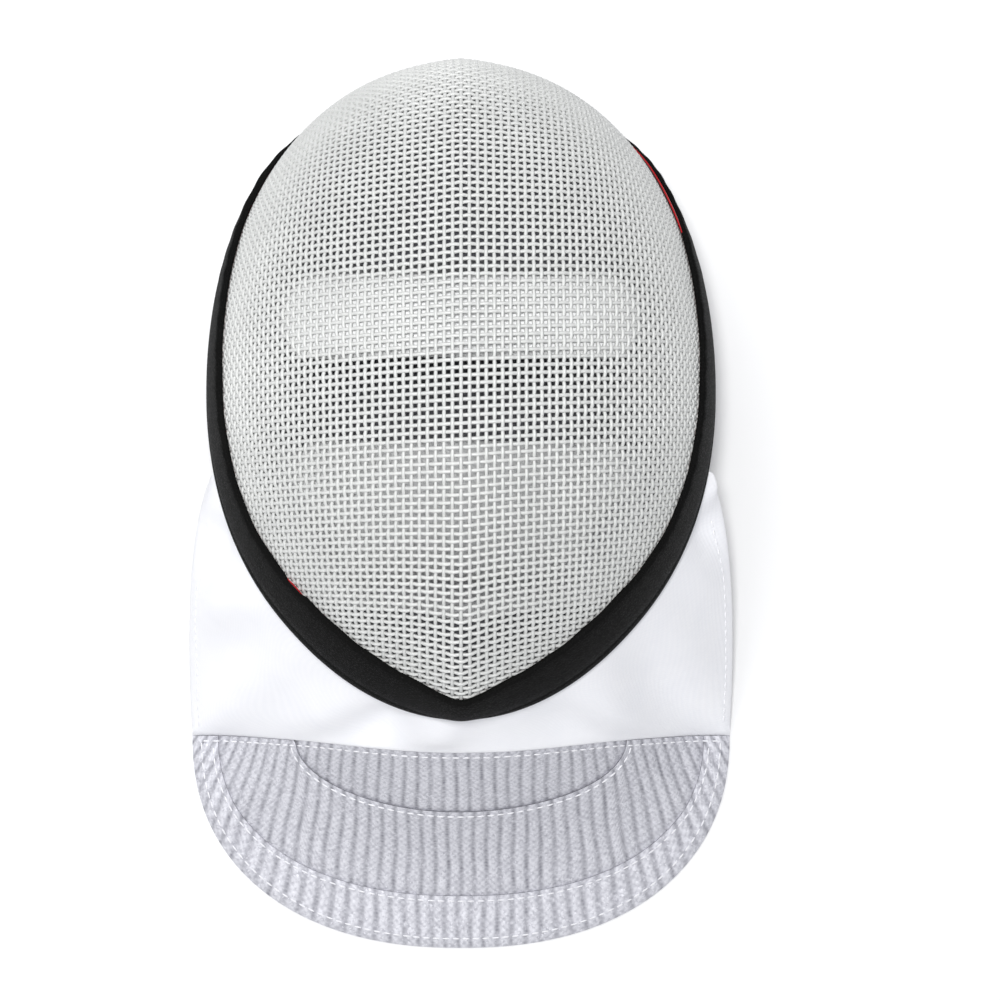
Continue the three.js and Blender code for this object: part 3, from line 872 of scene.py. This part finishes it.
elastic_web, tree, shader = new_material("grey_ribbed_elastic")
cloth = add_node(tree, "ShaderNodeUVMap", uv_map="cloth").outputs["UV"]
scaled = add_node(tree, "ShaderNodeVectorMath", operation="MULTIPLY", inputs={
    0: cloth, 1: (2000 * math.pi / YARN_PITCH, 2000 * math.pi / RUBBER_PITCH, 0)})
waves = add_node(tree, "ShaderNodeVectorMath", {0: scaled.outputs[0]}, operation="SINE")
ribs = add_node(tree, "ShaderNodeVectorMath", operation="DOT_PRODUCT", inputs={
    0: waves.outputs[0], 1: (0.3, 0.2, 0)})
lift = add_node(tree, "ShaderNodeMath", {0: ribs.outputs["Value"], 1: 0.5}, operation="ADD")
tone = add_node(tree, "ShaderNodeMix", data_type="RGBA", inputs={
    FACTOR: lift.outputs[0], COLOUR_A: linear("#68686d"), COLOUR_B: linear("#84848a")})
bump = add_node(tree, "ShaderNodeBump", {"Height": lift.outputs[0], "Strength": 0.7, "Distance": 0.0003})
set_inputs(tree, shader, {
    "Base Color": tone.outputs[MIXED_COLOUR], "Normal": bump.outputs["Normal"], "Roughness": 0.8})
print("material", elastic_web.name)

# %% Make the strap
STRAP = {"half_span": 93, "bottom": 20, "top": 66, "end_z": 66, "middle_z": 14, "power": 2.2}
STRAP_THICK, STRAP_PINCH, STRAP_POWER = 2.0, 0.45, 16
STRAP_COLUMNS, STRAP_ROWS = 121, 17


def distance_along(points, axis=0):
    steps = np.diff(points, axis=axis, prepend=points.take([0], axis))
    return np.cumsum(np.linalg.norm(steps, axis=-1), axis)


def strap_side(off):
    x = across * STRAP["half_span"] - off * np.sin(lean)
    return np.stack(np.broadcast_arrays(x, strap_y, height + off * np.cos(lean)), -1)


across = np.linspace(-1, 1, STRAP_COLUMNS)[None]
share = eased_rows(STRAP_ROWS)
sag, width = STRAP["end_z"] - STRAP["middle_z"], STRAP["top"] - STRAP["bottom"]
slope = sag * STRAP["power"] * np.abs(across) ** (STRAP["power"] - 1)
lean = np.arctan(slope / STRAP["half_span"]) * np.sign(across)
height = STRAP["middle_z"] + sag * np.abs(across) ** STRAP["power"]
strap_y = STRAP["bottom"] + width * share
half = STRAP_THICK / 2 * pinched(share, STRAP_PINCH, STRAP_POWER)
run = distance_along(strap_side(0 * half)[0])[None]
strap = wall("elastic_strap", strap_side(half), strap_side(-half), elastic_web,
             cloth_map=np.stack(np.broadcast_arrays(run, strap_y), -1))
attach(strap, "root")
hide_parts("back_strap")

# %% [markdown]
# ## Silver lame cloth
# The bib of a sabre or foil mask conducts: steel yarn runs through a ribbed cloth, so that a hit on it
# lights the lamp. The yarn gives a cool silver grey with a fine glitter; its flecks are painted paler,
# partly the steel's own tone and partly a painted glint. The ribs are broad and pale, and the grooves
# between them, every 5.4 mm, are narrow and painted darker, which is painted shade in the recesses. The
# groove's place comes from the cloth's own map, which holds the distance across the ribs. Knitted loops and
# patches 5 mm wide break the groove's painted shade into a ladder. Real loops and flecks are finer than the
# render shows, so the loops are drawn 1.6 mm wide and the flecks of glitter about 0.8 mm.

# %% Grooves, loops and flecks of the bib's cloth
RIB, GROOVE, LOOP = 5.4, 1.1, 1.6
PATCH, FLECK = 5.263, 0.7692

lame, tree, shader = new_material("silver_lame_cloth")
cloth = add_node(tree, "ShaderNodeUVMap", uv_map="cloth").outputs["UV"]
place = add_node(tree, "ShaderNodeTexCoord").outputs["Object"]
across = add_node(tree, "ShaderNodeSeparateXYZ", {0: cloth})
away = add_node(tree, "ShaderNodeMath", {0: across.outputs[0], 1: RIB / 2000}, operation="PINGPONG")
groove_shade = add_node(tree, "ShaderNodeMapRange", interpolation_type="SMOOTHSTEP", inputs={
    "Value": away.outputs[0], "From Max": 1.5 * GROOVE / 1000, "To Min": 1.0, "To Max": 0.0})
patches = add_node(tree, "ShaderNodeTexNoise", {
    "Vector": place, "Scale": 1000 / PATCH, "Detail": 5.0, "Roughness": 0.75})
breaks = add_node(tree, "ShaderNodeMapRange", {
    "Value": patches.outputs["Fac"], "From Min": 0.3, "From Max": 0.62})
turns = add_node(tree, "ShaderNodeMath", operation="MULTIPLY", inputs={
    0: across.outputs[1], 1: 2000 * math.pi / LOOP})
loops = add_node(tree, "ShaderNodeMath", {0: turns.outputs[0]}, operation="SINE")
ladder = add_node(tree, "ShaderNodeMapRange", {
    "Value": loops.outputs[0], "From Min": -1.0, "To Min": 0.75})
patchy = add_node(tree, "ShaderNodeMath", operation="MULTIPLY", inputs={
    0: ladder.outputs[0], 1: breaks.outputs[0]})
broken_groove_shade = add_node(tree, "ShaderNodeMath", operation="MULTIPLY", inputs={
    0: groove_shade.outputs[0], 1: patchy.outputs[0]})
yarn = add_node(tree, "ShaderNodeTexVoronoi", {"Vector": place, "Scale": 1000 / FLECK})
fleck = add_node(tree, "ShaderNodeSeparateColor", {0: yarn.outputs["Color"]})
knit = plain_weave(tree, LOOP)
print("ribs", RIB, "mm wide, loops", LOOP, "mm")

# %% Colour and gloss of the bib's cloth
knit_share = add_node(tree, "ShaderNodeMath", {0: knit, 1: 0.5}, operation="MULTIPLY")
mottle = add_node(tree, "ShaderNodeMath", operation="MULTIPLY_ADD", inputs={
    0: breaks.outputs[0], 1: 0.5, 2: knit_share.outputs[0]})
body = add_node(tree, "ShaderNodeMix", data_type="RGBA", inputs={
    FACTOR: mottle.outputs[0], COLOUR_A: linear("#a6a6ae"), COLOUR_B: linear("#dedee4")})
# The steel flecks are painted paler: partly the yarn's own tone, partly a painted glint.
steel_and_glint_flecks = add_node(tree, "ShaderNodeMapRange", {"Value": fleck.outputs[0], "From Min": 0.55})
body_with_steel_and_glint = add_node(tree, "ShaderNodeMix", data_type="RGBA", inputs={
    FACTOR: steel_and_glint_flecks.outputs[0], COLOUR_A: body.outputs[MIXED_COLOUR], COLOUR_B: linear("#dfdfe5")})
# Painted shade: the grooves are darkened in the colour, broken up by the knitted ladder and the patches.
tone = add_node(tree, "ShaderNodeMix", data_type="RGBA", inputs={
    FACTOR: broken_groove_shade.outputs[0], COLOUR_A: body_with_steel_and_glint.outputs[MIXED_COLOUR], COLOUR_B: linear("#85858d")})
gloss = add_node(tree, "ShaderNodeMapRange", {
    "Value": fleck.outputs[1], "To Min": 0.45, "To Max": 0.75})
metal = add_node(tree, "ShaderNodeMapRange", {
    "Value": fleck.outputs[0], "To Min": 0.0, "To Max": 0.15})
height = add_node(tree, "ShaderNodeMath", {0: fleck.outputs[2], 1: knit}, operation="ADD")
bump = add_node(tree, "ShaderNodeBump", {
    "Height": height.outputs[0], "Strength": 0.5, "Distance": 0.0002})
set_inputs(tree, shader, {
    "Base Color": tone.outputs[MIXED_COLOUR], "Roughness": gloss.outputs["Result"],
    "Metallic": metal.outputs["Result"], "Specular IOR Level": 0.2, "Normal": bump.outputs["Normal"]})
print("material", lame.name)

# %% [markdown]
# ## How the bib falls
# The bib stands in an arch over the throat, sinks and narrows to the front and runs out flat on the table.
# One height function carries all of its panels, so their seams meet. A little slack makes soft folds that
# die away at the joining line and where the cloth lies flat, and two slanted ridges at each end of the bib.

# %% Sizes and heights of the bib
JOIN_Y, JOIN_DIP, LEAST_REACH = -100.0, 3.0, 1e-6
CREST_Z, ARCH_POWER, ARCH_FOOT, FALL_POWER, CORNER_POWER = 62.0, 2.2, 1.5, 1.6, 2.25
THROAT, HEM_SEAM, EDGE = (69.0, 30.0), (103.0, 68.0), (114.0, 90.0)
FOLD = {"high": 1.5, "full_height": 25, "free_from": 14}
WAVES = [{"share": 1.0, "x": 13, "y": 26, "start": 0.7}, {"share": 0.6, "x": 21, "y": -15, "start": 0.0}]
RIDGE = {"high": 2.4, "wide": 6.0, "apart": 17.0, "slant": math.radians(41), "fade": 4}


def bib_height(x, y):
    down = np.clip((JOIN_Y - y) / HEM_SEAM[1], 0, 1)
    reach = HEM_SEAM[0] * (1 - down ** CORNER_POWER) ** (1 / CORNER_POWER)
    across = np.minimum(1, np.abs(x) / np.maximum(reach, LEAST_REACH))
    return CREST_Z * (1 - across ** ARCH_POWER) ** ARCH_FOOT * (1 - down) ** FALL_POWER


def slack(x, y):
    high = np.minimum(1, bib_height(x, y) / FOLD["full_height"])
    free = 1 - np.exp(-(np.maximum(0, JOIN_Y - y) / FOLD["free_from"]) ** 2)
    waves = sum(w["share"] * np.sin(x / w["x"] + y / w["y"] + w["start"]) for w in WAVES)
    along = np.abs(x) - THROAT[0]
    past = along * math.cos(RIDGE["slant"]) + (y - JOIN_Y) * math.sin(RIDGE["slant"])
    ridges = sum(np.exp(-((past - k * RIDGE["apart"]) / RIDGE["wide"]) ** 2) for k in (0, 1))
    inside = 1 - (np.abs(x) / EDGE[0]) ** CORNER_POWER - ((JOIN_Y - y) / EDGE[1]) ** CORNER_POWER
    fade = np.clip(RIDGE["fade"] * inside, 0, 1)
    return free * (FOLD["high"] * high * waves + RIDGE["high"] * ridges * fade)


print("the bib's crest is", CREST_Z, "mm high")

# %% Seams and cut sizes of the bib
def round_seam(size, x, power, grow=0.0):
    far = np.clip(np.abs(x) / (size[0] + grow), 0, 1)
    return JOIN_Y - (size[1] + grow) * (1 - far ** power) ** (1 / power)


def join_line(x):
    far = np.minimum(1, np.abs(x) / THROAT[0])
    return JOIN_Y - JOIN_DIP * (1 - far ** 2) ** 2


def seam_path(size, power, grow, turn):
    x = (size[0] + grow) * np.sign(np.cos(turn)) * np.abs(np.cos(turn)) ** (2 / power)
    return np.stack([x, JOIN_Y - (size[1] + grow) * np.abs(np.sin(turn)) ** (2 / power)], -1)


def cut_size(name, points):
    a, b = np.diff(points, axis=0)[:, :-1], np.diff(points, axis=1)[:-1]
    area = np.linalg.norm(np.cross(a, b), axis=-1).sum() / 1e6
    wide = np.linalg.norm(np.diff(points, axis=1), axis=-1).sum(1).max() / 1000
    long = np.linalg.norm(np.diff(points, axis=0), axis=-1).sum(0).max() / 1000
    print(name, "is cut", round(1000 * wide), "x", round(1000 * long), "mm,", round(area, 4), "sq m")
    return (wide, long), area


print("the joining line dips to", float(join_line(0.0)), "mm")

# %% [markdown]
# ## Ribbed panels
# Three panels of the silver cloth are sewn together: the throat, the apron round it and the hem. A bump in
# the material would be simpler, but it would leave the mesh flat, so each panel is a grid between two seams
# that is fine enough to model the ribs as real ridges, with grooves more than half a millimetre deep. The
# ribs run down the panels and fan out a little at the sides. The lower edge of a panel sinks where the next
# one laps over it, so that the seams show as low steps.

# %% Make a ribbed panel between two seams
SEAM_GAP, PANEL_ROWS = 0.1, 37
RIB_RELIEF, RIB_ROUND = 0.6, 0.1
FAN = {"share": 0.55, "from": 20.0, "steps": 30}
WOBBLE = {"wide": 0.35, "x": 11, "y": 6}
LAPPED = {"top_roll": 1.2, "top_sink": 0.1, "low_roll": 5.0, "low_sink": 0.5, "rise": 0.1}


def from_seam(seam, way, share):
    along = np.gradient(seam, axis=0)
    along /= np.linalg.norm(along, axis=-1, keepdims=True)
    return share * np.abs(along[:, 0] * way[:, 1] - along[:, 1] * way[:, 0])


def fanned(x, y):
    rib = x
    for _ in range(FAN["steps"]):
        rib = x - FAN["share"] * np.sign(rib) * (rib / EDGE[0]) ** 2 * (JOIN_Y - y - FAN["from"])
    return rib


def ribbed_panel(name, node, top, low, phase, floor_off, top_off):
    share = eased_rows(PANEL_ROWS)
    way = low - top
    x, y = np.moveaxis(top + way * share[..., None], -1, 0)
    at_top = np.clip(1 - from_seam(top, way, share) / LAPPED["top_roll"], 0, 1) ** 2
    at_low = np.clip(1 - from_seam(low, way, 1 - share) / LAPPED["low_roll"], 0, 1) ** 2
    rib = fanned(x, y) + phase + WOBBLE["wide"] * np.sin(y / WOBBLE["y"] + x / WOBBLE["x"])
    away = np.abs((rib / RIB + 0.5) % 1 - 0.5) * RIB
    relief = RIB_RELIEF * np.exp(-(away / GROOVE) ** 2) + RIB_ROUND * np.cos(2 * np.pi * rib / RIB)
    base = bib_height(x, y) + slack(x, y)
    wall_high = top_off - floor_off
    sink = LAPPED["top_sink"] * at_top + LAPPED["low_sink"] * at_low
    upper = base + top_off - relief * (1 - at_low) - wall_high * sink
    under = base + floor_off + LAPPED["rise"] * wall_high * np.maximum(at_top, at_low)
    upper, under = (np.stack([x, y, z], -1) for z in (upper, under))
    made = wall(name, upper, under, lame, cloth_map=np.stack([rib, distance_along(upper)], -1))
    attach(made, "root")
    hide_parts(node)
    return made, *cut_size(name, under)


print("grooves", RIB_RELIEF, "mm deep")

# %% Make the throat and the apron
BIB_THICK, THROAT_THICK, PANEL_FLOOR = 3.0, 1.7, 0.1
LEAST_DROP = 0.4
COLUMN_STEP, END_ZONE, END_COLUMNS, END_TURN = 0.55, 1.5, 8, 0.01


def bib_columns(half):
    middle = np.arange(-half + END_ZONE, half - END_ZONE + 0.1, COLUMN_STEP)
    end = half * np.cos(np.linspace(END_TURN, math.acos(1 - END_ZONE / half), END_COLUMNS, endpoint=False))
    return np.concatenate([-end, middle, end[::-1]])


x = bib_columns(THROAT[0] - SEAM_GAP)
top = np.stack([x, join_line(x)], -1)
low = np.stack([x, np.minimum(round_seam(THROAT, x, 2, -SEAM_GAP), join_line(x) - LEAST_DROP)], -1)
throat, flat, area = ribbed_panel("throat_panel", "bib_throat", top, low, phase=2.0,
                                  floor_off=PANEL_FLOOR, top_off=THROAT_THICK)
x = bib_columns(HEM_SEAM[0] - SEAM_GAP)
top = np.stack([x, round_seam(THROAT, x, 2)], -1)
low = np.stack([x, np.minimum(round_seam(HEM_SEAM, x, CORNER_POWER, -SEAM_GAP), JOIN_Y - LEAST_DROP)], -1)
apron, flat, area = ribbed_panel("apron_panel", "bib_apron", top, low, phase=0.0,
                                 floor_off=PANEL_FLOOR, top_off=BIB_THICK)

# %% Make the hem band along its curve
HEM_SAMPLES, HEM_COLUMNS = 4000, 600

fine = np.linspace(np.pi, 0, HEM_SAMPLES)
middle_curve = (seam_path(HEM_SEAM, CORNER_POWER, 0, fine) + seam_path(EDGE, CORNER_POWER, 0, fine)) / 2
length = distance_along(middle_curve)
turn = np.interp(np.linspace(0, length[-1], HEM_COLUMNS), length, fine)
hem, flat, area = ribbed_panel("hem_band", "bib_hem", seam_path(HEM_SEAM, CORNER_POWER, 0, turn),
                               seam_path(EDGE, CORNER_POWER, 0, turn), phase=1.2, floor_off=0.0,
                               top_off=BIB_THICK)

# %% [markdown]
# ## White bib cloth and the yoke
# Above the silver cloth the bib is plain white: a tightly woven cotton, matt and even, sewn under the
# binding from jaw to jaw, which falls like a collar to the joining line. It is a ruled surface from the rim
# to its free edge, smoothed until it hangs evenly. Cloth that hangs from a curve has more length than it
# needs, so shallow folds run down from the rim.

# %% Rim and free edge of the yoke
YOKE_THICK, YOKE_START, YOKE_CORNER = 2.6, -12.0, -46.0
JAW, BOW = np.array([102.0, 9, 59]), np.array([115.0, -18, 43])


def yoke_edge(u):
    half = np.where(u <= 0.5, 1.0, -1.0)
    t = np.where(u <= 0.5, u, 1 - u)
    corner = np.array([EDGE[0], JOIN_Y + SEAM_GAP, YOKE_THICK / 2])
    s = np.clip(4 * t, 0, 1)[:, None]
    side = (1 - s) ** 2 * JAW + 2 * s * (1 - s) * BOW + s * s * corner
    x = EDGE[0] * (1 - np.clip(4 * t - 1, 0, 1))
    y = join_line(x) + SEAM_GAP
    front = np.stack([x, y, bib_height(x, y) + YOKE_THICK / 2], -1)
    edge = np.where((t <= 0.25)[:, None], side, front)
    return edge * np.stack([half, np.ones_like(half), np.ones_like(half)], -1)


def yoke_turn(u):
    t = np.where(u <= 0.5, u, 1 - u)
    side = YOKE_START + (YOKE_CORNER - YOKE_START) * 4 * t
    front = YOKE_CORNER + (-90 - YOKE_CORNER) * (4 * t - 1)
    turn = np.where(t <= 0.25, side, front)
    return np.radians(np.where(u <= 0.5, turn, -180 - turn))


print("the yoke starts at", YOKE_START, "degrees")

# %% Make the yoke
YOKE_INSET, YOKE_OFF, YOKE_COLUMNS, YOKE_ROWS, SMOOTHING = -3.6, 0.5, 321, 49, 300
YOKE_FOLDS = [{"high": 3.0, "count": 38, "start": 1.2}, {"high": 2.1, "count": 61, "start": 0.4}]
FOLD_POWER, YOKE_PINCH, YOKE_POWER = 1.5, 0.5, 30
UPWARD = np.array([0, 0, 1.0])


def surface_normals(points):
    normal = np.cross(np.gradient(points, axis=1), np.gradient(points, axis=0))
    return normal / np.maximum(np.linalg.norm(normal, axis=-1, keepdims=True), SMALL)


bib_cotton = cloth_material("white_woven_cotton", "#eff0f5", "#fbfbfd", thread_mm=1.3, depth_mm=0.12,
                            roughness=0.9, sheen=0.3)
u = np.linspace(0, 1, YOKE_COLUMNS)
v = np.linspace(0, 1, YOKE_ROWS)[:, None, None]
rim = bowl_point(yoke_turn(u), inset_reach(yoke_turn(u), YOKE_INSET), YOKE_OFF)
ruled = rim + (yoke_edge(u) - rim) * v
for _ in range(SMOOTHING):
    ruled[1:-1, 1:-1] = (ruled[:-2, 1:-1] + ruled[2:, 1:-1] + ruled[1:-1, :-2] + ruled[1:-1, 2:]) / 4
facing = surface_normals(ruled)
facing = facing * np.sign(facing[..., 2:3] + SMALL)
folds = sum(fold["high"] * np.sin(fold["count"] * u + fold["start"]) for fold in YOKE_FOLDS)
hanging = np.sin(np.pi * v[..., 0]) ** FOLD_POWER
ruled = ruled + facing * (folds * hanging)[..., None]
half = YOKE_THICK / 2 * pinched(v, YOKE_PINCH, YOKE_POWER)
fall = distance_along(ruled)
yoke = wall("yoke", ruled + UPWARD * half, ruled - UPWARD * half, bib_cotton,
            cloth_map=np.stack([distance_along(ruled, 1), fall], -1))
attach(yoke, "root")
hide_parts("bib_yoke")
flat, area = cut_size("yoke", ruled)

# %% [markdown]
# ## Stitches
# Seams on the bib are top-stitched in white thread: along the throat, along the hem's seam, a few
# millimetres inside the free edges, and along the joining line. Twisted cotton thread is nearly matt, with
# strands 0.4 mm wide. A stitch is a short thread that dips into the cloth at both ends, so a flattened ball
# will do, repeated along the seam's path. A Geometry Nodes tree spaces points along each path and sets one
# stitch on each point, turned to the path.

# %% Material of the thread
STRAND = 0.4

thread, tree, shader = new_material("white_cotton_thread")
place = add_node(tree, "ShaderNodeTexCoord").outputs["Object"]
strands = add_node(tree, "ShaderNodeTexNoise", {"Vector": place, "Scale": 1000 / STRAND, "Detail": 1.0})
tone = add_node(tree, "ShaderNodeMix", data_type="RGBA", inputs={
    FACTOR: strands.outputs["Fac"], COLOUR_A: linear("#e2e2e6"), COLOUR_B: linear("#fafafc")})
bump = add_node(tree, "ShaderNodeBump", {
    "Height": strands.outputs["Fac"], "Strength": 0.4, "Distance": 0.0001})
set_inputs(tree, shader, {
    "Base Color": tone.outputs[MIXED_COLOUR], "Normal": bump.outputs["Normal"], "Roughness": 0.7})
print("material", thread.name)

# %% Tree that sews a line of stitches
stitch_tree, sizes = new_tree("stitches", {
    "Pitch": "NodeSocketFloat", "Stitch Length": "NodeSocketFloat", "Thread Radius": "NodeSocketFloat"})
curve = add_node(stitch_tree, "GeometryNodeMeshToCurve", {"Mesh": sizes["Geometry"]})
spaced = add_node(stitch_tree, "GeometryNodeCurveToPoints", mode="LENGTH", inputs={
    "Curve": curve.outputs[0], "Length": sizes["Pitch"]})
ball = add_node(stitch_tree, "GeometryNodeMeshUVSphere", {"Segments": 8, "Rings": 6, "Radius": 1.0})
half = add_node(stitch_tree, "ShaderNodeMath", {0: sizes["Stitch Length"], 1: 0.5}, operation="MULTIPLY")
shape = add_node(stitch_tree, "ShaderNodeCombineXYZ", {
    0: sizes["Thread Radius"], 1: sizes["Thread Radius"], 2: half.outputs[0]})
sewn = add_node(stitch_tree, "GeometryNodeInstanceOnPoints", {
    "Points": spaced.outputs["Points"], "Instance": ball.outputs["Mesh"],
    "Rotation": spaced.outputs["Rotation"], "Scale": shape.outputs[0]})
end_tree(stitch_tree, sewn.outputs["Instances"], thread)

# %% Paths of the stitches
SEAM_SAMPLES, SEAM_LIFT = 400, 3.15
YOKE_HEM, YOKE_LIFT = 6.0, 0.1


def on_bib(x, y, up):
    return np.stack([x, y, bib_height(x, y) + slack(x, y) + up], -1)


def sewn_path(size, power, grow, start):
    turn = np.radians(np.linspace(start, 180 - start, SEAM_SAMPLES))
    return on_bib(*seam_path(size, power, grow, turn).T, SEAM_LIFT)


def yoke_hem(columns):
    path = []
    for k in columns:
        at = fall[-1, k] - YOKE_HEM
        path.append([np.interp(at, fall[:, k], ruled[:, k, axis]) for axis in range(3)])
    return np.array(path) + UPWARD * (YOKE_THICK / 2 + YOKE_LIFT)


print("stitches lie", YOKE_HEM, "mm inside the yoke's free edges")

# %% Sew the seams of the bib
# The tree's own sizes are in metres.
STITCH = {"Pitch": 0.0042, "Stitch Length": 0.0031, "Thread Radius": 0.00037}
BELOW_SEAM, INSIDE_EDGE = 2.1, 4.0
JOIN = {"margin": 6, "samples": 300, "below": 2.2, "throat_lift": 1.6, "apron_lift": 2.9}
SEWN_FROM, SEWN_TO = 22, 79

x = np.linspace(-EDGE[0] + JOIN["margin"], EDGE[0] - JOIN["margin"], JOIN["samples"])
join_lift = np.where(np.abs(x) < THROAT[0], JOIN["throat_lift"], JOIN["apron_lift"])
lines = {
    "join_stitches": on_bib(x, join_line(x) - JOIN["below"], join_lift),
    "throat_stitches": sewn_path(THROAT, 2, BELOW_SEAM, start=8),
    "hem_seam_stitches": sewn_path(HEM_SEAM, CORNER_POWER, BELOW_SEAM, start=4),
    "edge_stitches": sewn_path(EDGE, CORNER_POWER, -INSIDE_EDGE, start=2),
    "left_yoke_stitches": yoke_hem(range(YOKE_COLUMNS - 1 - SEWN_TO, YOKE_COLUMNS - SEWN_FROM)),
    "right_yoke_stitches": yoke_hem(range(SEWN_FROM, SEWN_TO)),
}
for name, path in lines.items():
    steps = np.arange(len(path) - 1)
    made = grow(name, stitch_tree, path, np.stack([steps, steps + 1], -1), STITCH)
    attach(made, "root")

# %% [markdown]
# ## The dressed size
# The dressed mask has to stay the size of its solids. Its box is printed here, as the frame's box was at
# the start.

# %% Print the dressed box
low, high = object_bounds()
print("dressed", [round(1000 * x, 1) for x in high - low], "mm")
